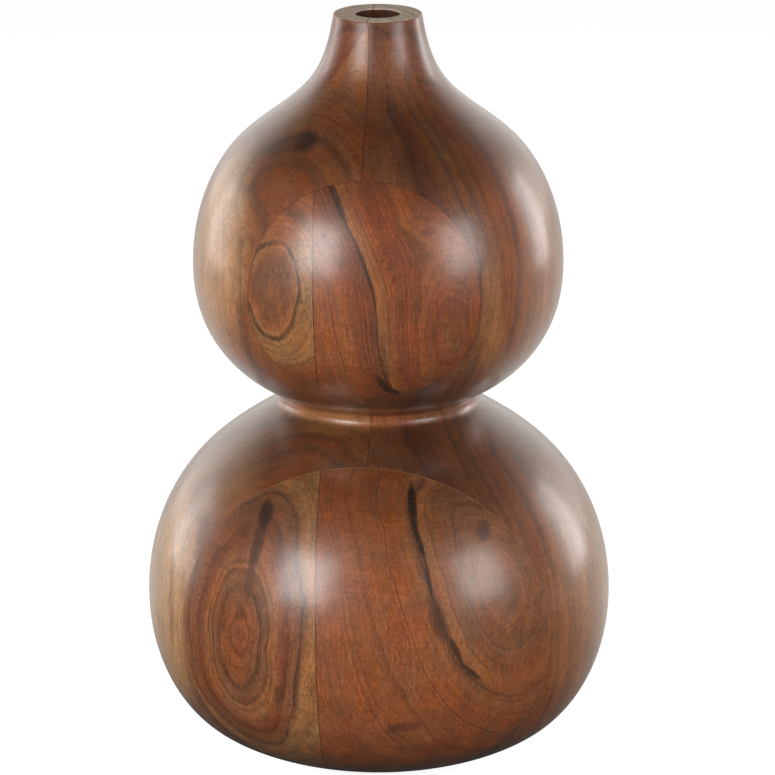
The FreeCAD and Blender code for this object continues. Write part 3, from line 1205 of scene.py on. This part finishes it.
@dataclass
class GluedVase:
    """The turned vase, made of its glued boards."""

    outline: TurnedOutline
    spin_steps: int = 288
    merge: float = 0.001
    saw_snap: float = 0.0001
    bare_margin: float = 0.1
    seams: dict = field(default_factory=lambda: {
        Layer.FRONT_CAP: -22.0, Layer.FRONT_INNER: 0.7, Layer.CORE: 0.0,
        Layer.BACK_INNER: 6.0, Layer.BACK_CAP: 18.0})

    def planes(self, layer: Layer) -> tuple[float | None, float | None]:
        """The glue planes of a layer.

        Args:
            layer: The layer.

        Returns:
            The planes in front of it and behind it in millimetres, or None where there is none.
        """
        front_inner, back_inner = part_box("front_inner_board_left"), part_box("back_inner_board_left")
        marks = [None, front_inner[0][1] / MM, front_inner[1][1] / MM,
                 back_inner[0][1] / MM, back_inner[1][1] / MM, None]
        number = list(Layer).index(layer)
        return marks[number], marks[number + 1]

    def turned_form(self) -> bmesh.types.BMesh:
        """Turn the outline round the axis to the whole closed form.

        Returns:
            The form in metres, with its smooth normals kept in a layer and the bare faces marked.
        """
        form = bmesh.new()
        points = [form.verts.new((radius * MM, 0.0, height * MM)) for radius, height in self.outline.closed()]
        for first, second in zip(points, points[1:]):
            form.edges.new((first, second))
        bmesh.ops.spin(
            form, geom=form.verts[:] + form.edges[:], cent=(0, 0, 0), axis=(0, 0, 1), dvec=(0, 0, 0),
            angle=2 * math.pi, steps=self.spin_steps, use_merge=True, use_duplicate=False)
        bmesh.ops.remove_doubles(form, verts=form.verts[:], dist=self.merge * MM)
        bmesh.ops.recalc_face_normals(form, faces=form.faces[:])
        form.normal_update()
        kept = form.verts.layers.float_vector.new("turned_normal")
        for vert in form.verts:
            vert[kept] = vert.normal
        rim_top = (self.outline.rim_z - self.bare_margin) * MM
        bore = (self.outline.bore + self.bare_margin) * MM
        foot_top = (self.outline.base_z + self.merge) * MM
        for face in form.faces:
            centre = face.calc_center_median()
            in_bore = Vector(centre[:2]).length < bore and centre.z > self.outline.waist_z * MM
            face.material_index = int(centre.z > rim_top or in_bore)
            face.smooth = centre.z > foot_top
        return form

    def cut(self, form: bmesh.types.BMesh, spot: tuple, normal: tuple) -> None:
        """Saw a form at a plane, keep the side behind it, and close the cut with a flat face.

        Args:
            form: The form to saw.
            spot: A point of the plane in millimetres.
            normal: The direction towards the side that goes.
        """
        away = Vector(normal).normalized()
        result = bmesh.ops.bisect_plane(
            form, geom=form.verts[:] + form.edges[:] + form.faces[:], dist=self.saw_snap * MM,
            plane_co=Vector(spot) * MM, plane_no=away, clear_outer=True)
        edges = [item for item in result["geom_cut"] if isinstance(item, bmesh.types.BMEdge)]
        if not edges:
            return
        filled = bmesh.ops.triangle_fill(form, use_beauty=True, use_dissolve=False, edges=edges, normal=away)
        for face in (item for item in filled["geom"] if isinstance(item, bmesh.types.BMFace)):
            face.smooth = False
            face.material_index = 0
            face.normal_update()
            if face.normal.dot(away) < 0:
                face.normal_flip()

    def slab(self, form: bmesh.types.BMesh, layer: Layer) -> bmesh.types.BMesh:
        """Saw one layer out of the turned form.

        Args:
            form: The whole form.
            layer: The layer.

        Returns:
            The layer's part of the form.
        """
        made = form.copy()
        front, back = self.planes(layer)
        if front is not None:
            self.cut(made, (0, front, 0), (0, -1, 0))
        if back is not None:
            self.cut(made, (0, back, 0), (0, 1, 0))
        return made

    def saw_board(self, slab: bmesh.types.BMesh, board: Board) -> bmesh.types.BMesh:
        """Saw one board out of its layer.

        Args:
            slab: The layer's part of the form.
            board: The board.

        Returns:
            The board's part of the form.
        """
        made = slab.copy()
        lean = math.tan(math.radians(SEAM_LEAN))
        away = -board.side.value
        self.cut(made, (self.seams[board.layer], 0, self.outline.waist_z), (away, 0, away * lean))
        if board.upper is not None:
            self.cut(made, (0, 0, self.outline.waist_z), (0, 0, -1 if board.upper else 1))
        return made

    def keep_normals(self, mesh: bpy.types.Mesh) -> None:
        """Give the turned faces the whole form's normals, so that the gloss runs on over the glue lines.

        The same normals also say how steeply the surface cuts the fibres, which is kept as "end_grain"; the
        wood darkens with it, partly as end grain and partly as painted shade on the tops and undersides.

        Args:
            mesh: The board's mesh.
        """
        kept = mesh.attributes["turned_normal"]
        soft = np.empty(len(mesh.vertices) * 3)
        kept.data.foreach_get("vector", soft)
        corners = np.empty(len(mesh.loops), int)
        mesh.loops.foreach_get("vertex_index", corners)
        sizes = np.empty(len(mesh.polygons), int)
        mesh.polygons.foreach_get("loop_total", sizes)
        smooth = np.empty(len(mesh.polygons), bool)
        mesh.polygons.foreach_get("use_smooth", smooth)
        flat = np.empty(len(mesh.polygons) * 3)
        mesh.polygons.foreach_get("normal", flat)
        faces = np.repeat(np.arange(len(sizes)), sizes)
        soft = soft.reshape(-1, 3)
        soft /= np.linalg.norm(soft, axis=1)[:, None] + 1e-12
        normals = np.where(smooth[faces][:, None], soft[corners], flat.reshape(-1, 3)[faces])
        mesh.attributes.remove(kept)
        ends = mesh.attributes.new("end_grain", "FLOAT", "POINT")
        ends.data.foreach_set("value", np.abs(soft[:, 2]).astype(np.float32))
        mesh.normals_split_custom_set(normals.tolist())

    def dress(self, mesh: bpy.types.Mesh, board: Board, number: int, bare: bpy.types.Material) -> None:
        """Give a board its ring values and its materials.

        Args:
            mesh: The board's mesh.
            board: The board.
            number: The board's place in the list of boards.
            bare: The bare end grain of the rim and the bore.
        """
        spots = np.empty(len(mesh.vertices) * 3)
        mesh.vertices.foreach_get("co", spots)
        rings = board.figure.rings.values(spots.reshape(-1, 3) / MM, self.outline)
        mesh.attributes.new("ring_mm", "FLOAT", "POINT").data.foreach_set("value", rings.astype(np.float32))
        planes = tuple(plane for plane in self.planes(board.layer) if plane is not None)
        wood = VarnishedWood(
            name="wood_" + board.node, figure=board.figure, planes=planes, seam=self.seams[board.layer],
            waist_z=self.outline.waist_z, shift=float(number), glue_tone=board.glue_tone)
        mesh.materials.append(wood.material())
        if board.layer is Layer.CORE:
            mesh.materials.append(bare)
        log.info("%s: rings %.1f to %.1f, %d faces", board.node, rings.min(), rings.max(), len(mesh.polygons))

    def build(self) -> None:
        """Turn the form, saw it into its boards and dress each of them."""
        bare = BareEndGrain().material(self.outline)
        form = self.turned_form()
        slabs = {layer: self.slab(form, layer) for layer in Layer}
        form.free()
        for number, board in enumerate(all_boards()):
            sawn = self.saw_board(slabs[board.layer], board)
            mesh = bpy.data.meshes.new(board.node + "_turned")
            sawn.to_mesh(mesh)
            sawn.free()
            self.keep_normals(mesh)
            self.dress(mesh, board, number, bare)
            piece = add_object(mesh.name, mesh)
            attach(piece, "root")
            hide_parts(board.node)
        for slab in slabs.values():
            slab.free()


@dataclass
class FeltPads:
    """The four stick on felt pads under the foot."""

    count: int = 4
    sides: int = 72
    worn_edge: float = 0.35
    edge_steps: int = 3
    inset_share: float = 1 / 8
    level: float = 1e-6
    flat: float = 0.99

    def build(self) -> None:
        """Make each pad in the place of its node."""
        felt = PressedFelt().material()
        for number in range(1, self.count + 1):
            node = f"felt_pad_{number}"
            low, high = Vector(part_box(node)[0]), Vector(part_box(node)[1])
            size, centre = high - low, (low + high) / 2
            pad = bmesh.new()
            bmesh.ops.create_cone(pad, cap_ends=True, segments=self.sides, radius1=size.x / 2,
                                  radius2=size.x / 2, depth=size.z)
            rims = [edge for edge in pad.edges
                    if abs(edge.verts[0].co.z - edge.verts[1].co.z) < self.level]
            bmesh.ops.bevel(pad, geom=rims, offset=self.worn_edge * MM, offset_type="OFFSET",
                            segments=self.edge_steps, profile=0.5, affect="EDGES", material=-1)
            caps = [face for face in pad.faces if abs(face.normal.z) > self.flat]
            bmesh.ops.inset_region(pad, faces=caps, thickness=size.x * self.inset_share)
            bmesh.ops.translate(pad, verts=pad.verts[:], vec=centre)
            bmesh.ops.recalc_face_normals(pad, faces=pad.faces[:])
            for face in pad.faces:
                face.smooth = abs(face.normal.z) < self.flat
            mesh = bpy.data.meshes.new(node + "_pressed")
            pad.to_mesh(mesh)
            pad.free()
            mesh.materials.append(felt)
            piece = add_object(mesh.name, mesh)
            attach(piece, "root")
            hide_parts(node)
            log.info("%s: %d faces", node, len(mesh.polygons))


@dataclass(frozen=True)
class SoftBox:
    """One soft lamp, placed by its direction from the vase."""

    name: str
    azimuth: float
    elevation: float
    width: float
    height: float
    radiance: float
    distance: float = 1.6

    def build(self, target: Vector) -> None:
        """Hang the lamp so that it faces the target.

        Args:
            target: The middle of the vase in metres.
        """
        away = sight_line(self.azimuth, self.elevation)
        lamp = bpy.data.lights.new(self.name, "AREA")
        lamp.shape = "RECTANGLE"
        lamp.size, lamp.size_y = self.width, self.height
        lamp.energy = self.radiance * math.pi * self.width * self.height
        holder = add_object(self.name, lamp)
        holder.location = target + away * self.distance
        holder.rotation_euler = away.to_track_quat("Z", "Y").to_euler()


@dataclass(frozen=True)
class Surroundings:
    """The light from all round: soft light on the vase, and the brighter back that its varnish shows."""

    name: str = "studio_world"
    soft_least: float = 0.04
    soft_up: tuple = (0.62, -0.05)
    soft_front: float = 0.50
    soft_sides: float = 0.55
    soft_across: tuple = (0.3, 0.9)
    mirror_least: float = 0.03
    mirror_back: tuple = (0.20, 0.60)
    mirror_up: tuple = (0.74, 0.42)
    side_gain: float = 0.50
    side_across: tuple = (0.45, 0.62)
    side_up: tuple = (0.48, 0.30)

    def build(self, mirror_tint: tuple[float, float, float]) -> None:
        """Give the world this light, and plain white where the camera looks.

        Args:
            mirror_tint: The colour of what the varnish shows.
        """
        world = bpy.data.worlds.new(self.name)
        bpy.context.scene.world = world
        world.use_nodes = True
        bench = ShaderBench(world.node_tree)
        across, back, up = bench.parts(bench.wire("ShaderNodeTexCoord", None, None, "Generated"))
        rays = bench.node("ShaderNodeLightPath")
        seen = Wire(bench, rays.outputs["Is Camera Ray"])
        mirrored = Wire(bench, rays.outputs["Is Glossy Ray"])
        sideways = abs(across)
        soft = self.soft_front + sideways.rise(*self.soft_across) * self.soft_sides
        soft = self.soft_least + up.rise(*self.soft_up) * soft
        sides = 1.0 + sideways.rise(*self.side_across) * up.rise(*self.side_up) * self.side_gain
        mirror = self.mirror_least + back.rise(*self.mirror_back) * up.rise(*self.mirror_up) * sides
        strength = soft + (mirror - soft) * mirrored
        strength = strength + (1.0 - strength) * seen
        colour = bench.mixed(mirrored, (1.0, 1.0, 1.0), mirror_tint)
        light = bench.wire("ShaderNodeBackground", None, {"Color": colour, "Strength": strength})
        bench.node("ShaderNodeOutputWorld", None, {"Surface": light})


@dataclass
class Studio:
    """The pale floor, the soft lamps, the white surroundings and the camera."""

    image_side: float = 775.0
    sensor: float = 36.0
    focal_pixels: float = 5453.9
    principal_x: float = 378.5
    principal_y: float = 376.95
    aim_z: float = 196.9
    distance: float = 2709.0
    elevation: float = 16.04
    azimuth: float = 5.27
    roll: float = 0.12
    floor_side: float = 12.0
    floor_colour: float = 0.62
    floor_glow: float = 0.86
    sheen_least: float = 0.04
    sheen_gain: float = 0.60
    sheen_reach: tuple = (-60.0, 260.0)
    mirror_tint: tuple = (1.0, 0.96, 0.91)
    lamps: tuple = (
        SoftBox("softbox_front_left", -33.0, 18.0, 0.70, 0.74, 11.5),
        SoftBox("softbox_front_right", 58.0, 16.0, 0.66, 0.70, 7.6),
        SoftBox("strip_left", -110.0, 2.0, 0.76, 1.10, 2.0),
        SoftBox("strip_right", 124.0, 6.0, 0.50, 1.00, 3.1),
    )

    def build(self) -> None:
        """Set up the whole studio."""
        target = Vector((0.0, 0.0, self.aim_z * MM))
        for lamp in self.lamps:
            lamp.build(target)
        self.lay_floor()
        Surroundings().build(self.mirror_tint)
        self.place_camera(target)
        bpy.context.scene.view_settings.view_transform = "Standard"

    def lay_floor(self) -> None:
        """Lay the pale floor, which is white to the camera where no shadow falls."""
        plane = bmesh.new()
        bmesh.ops.create_grid(plane, x_segments=1, y_segments=1, size=self.floor_side / 2)
        mesh = bpy.data.meshes.new("studio_floor")
        plane.to_mesh(mesh)
        plane.free()
        floor = add_object("studio_floor", mesh)
        material, bench = new_material("studio_floor")
        rays = bench.node("ShaderNodeLightPath")
        seen = Wire(bench, rays.outputs["Is Camera Ray"])
        mirrored = Wire(bench, rays.outputs["Is Glossy Ray"])
        pale = bench.wire("ShaderNodeBsdfDiffuse", None, {"Color": (*(self.floor_colour,) * 3, 1.0)})
        glow = bench.wire("ShaderNodeEmission", None, {"Strength": self.floor_glow})
        _, back, _ = bench.parts(bench.place((0.0, 0.0, 0.0)))
        sheen = bench.wire("ShaderNodeEmission", None, {
            "Color": (*self.mirror_tint, 1.0),
            "Strength": self.sheen_least + back.rise(*self.sheen_reach) * self.sheen_gain})
        bright = bench.wire("ShaderNodeAddShader", None, {0: pale, 1: glow})
        lit = bench.wire("ShaderNodeMixShader", None, {0: mirrored, 1: pale, 2: sheen})
        bench.finish(bench.wire("ShaderNodeMixShader", None, {0: seen, 1: lit, 2: bright}))
        mesh.materials.append(material)

    def place_camera(self, target: Vector) -> None:
        """Put the camera where the photograph was taken.

        Args:
            target: The point that the camera looks at, in metres.
        """
        back = sight_line(self.azimuth, self.elevation)
        lens = bpy.data.cameras.new("photo_camera")
        lens.sensor_width = self.sensor
        lens.lens = self.focal_pixels / self.image_side * self.sensor
        lens.shift_x = (self.image_side / 2 - self.principal_x) / self.image_side
        lens.shift_y = (self.principal_y - self.image_side / 2) / self.image_side
        lens.clip_start, lens.clip_end = 0.1, 50.0
        camera = add_object("photo_camera", lens)
        camera.location = target + back * (self.distance * MM)
        upright = back.to_track_quat("Z", "Y").to_matrix()
        camera.rotation_euler = (upright @ Matrix.Rotation(math.radians(-self.roll), 3, "Z")).to_euler()
        bpy.context.scene.camera = camera


def write_sizes() -> None:
    """Bring the scene's placements up to date."""
    bpy.context.view_layer.update()


def main() -> None:
    """Build the vase, its pads and the studio."""
    logging.basicConfig(level=logging.INFO, format="%(message)s")
    GluedVase(TurnedOutline.from_frame()).build()
    FeltPads().build()
    Studio().build()
    write_sizes()


if __name__ == "__main__":
    main()
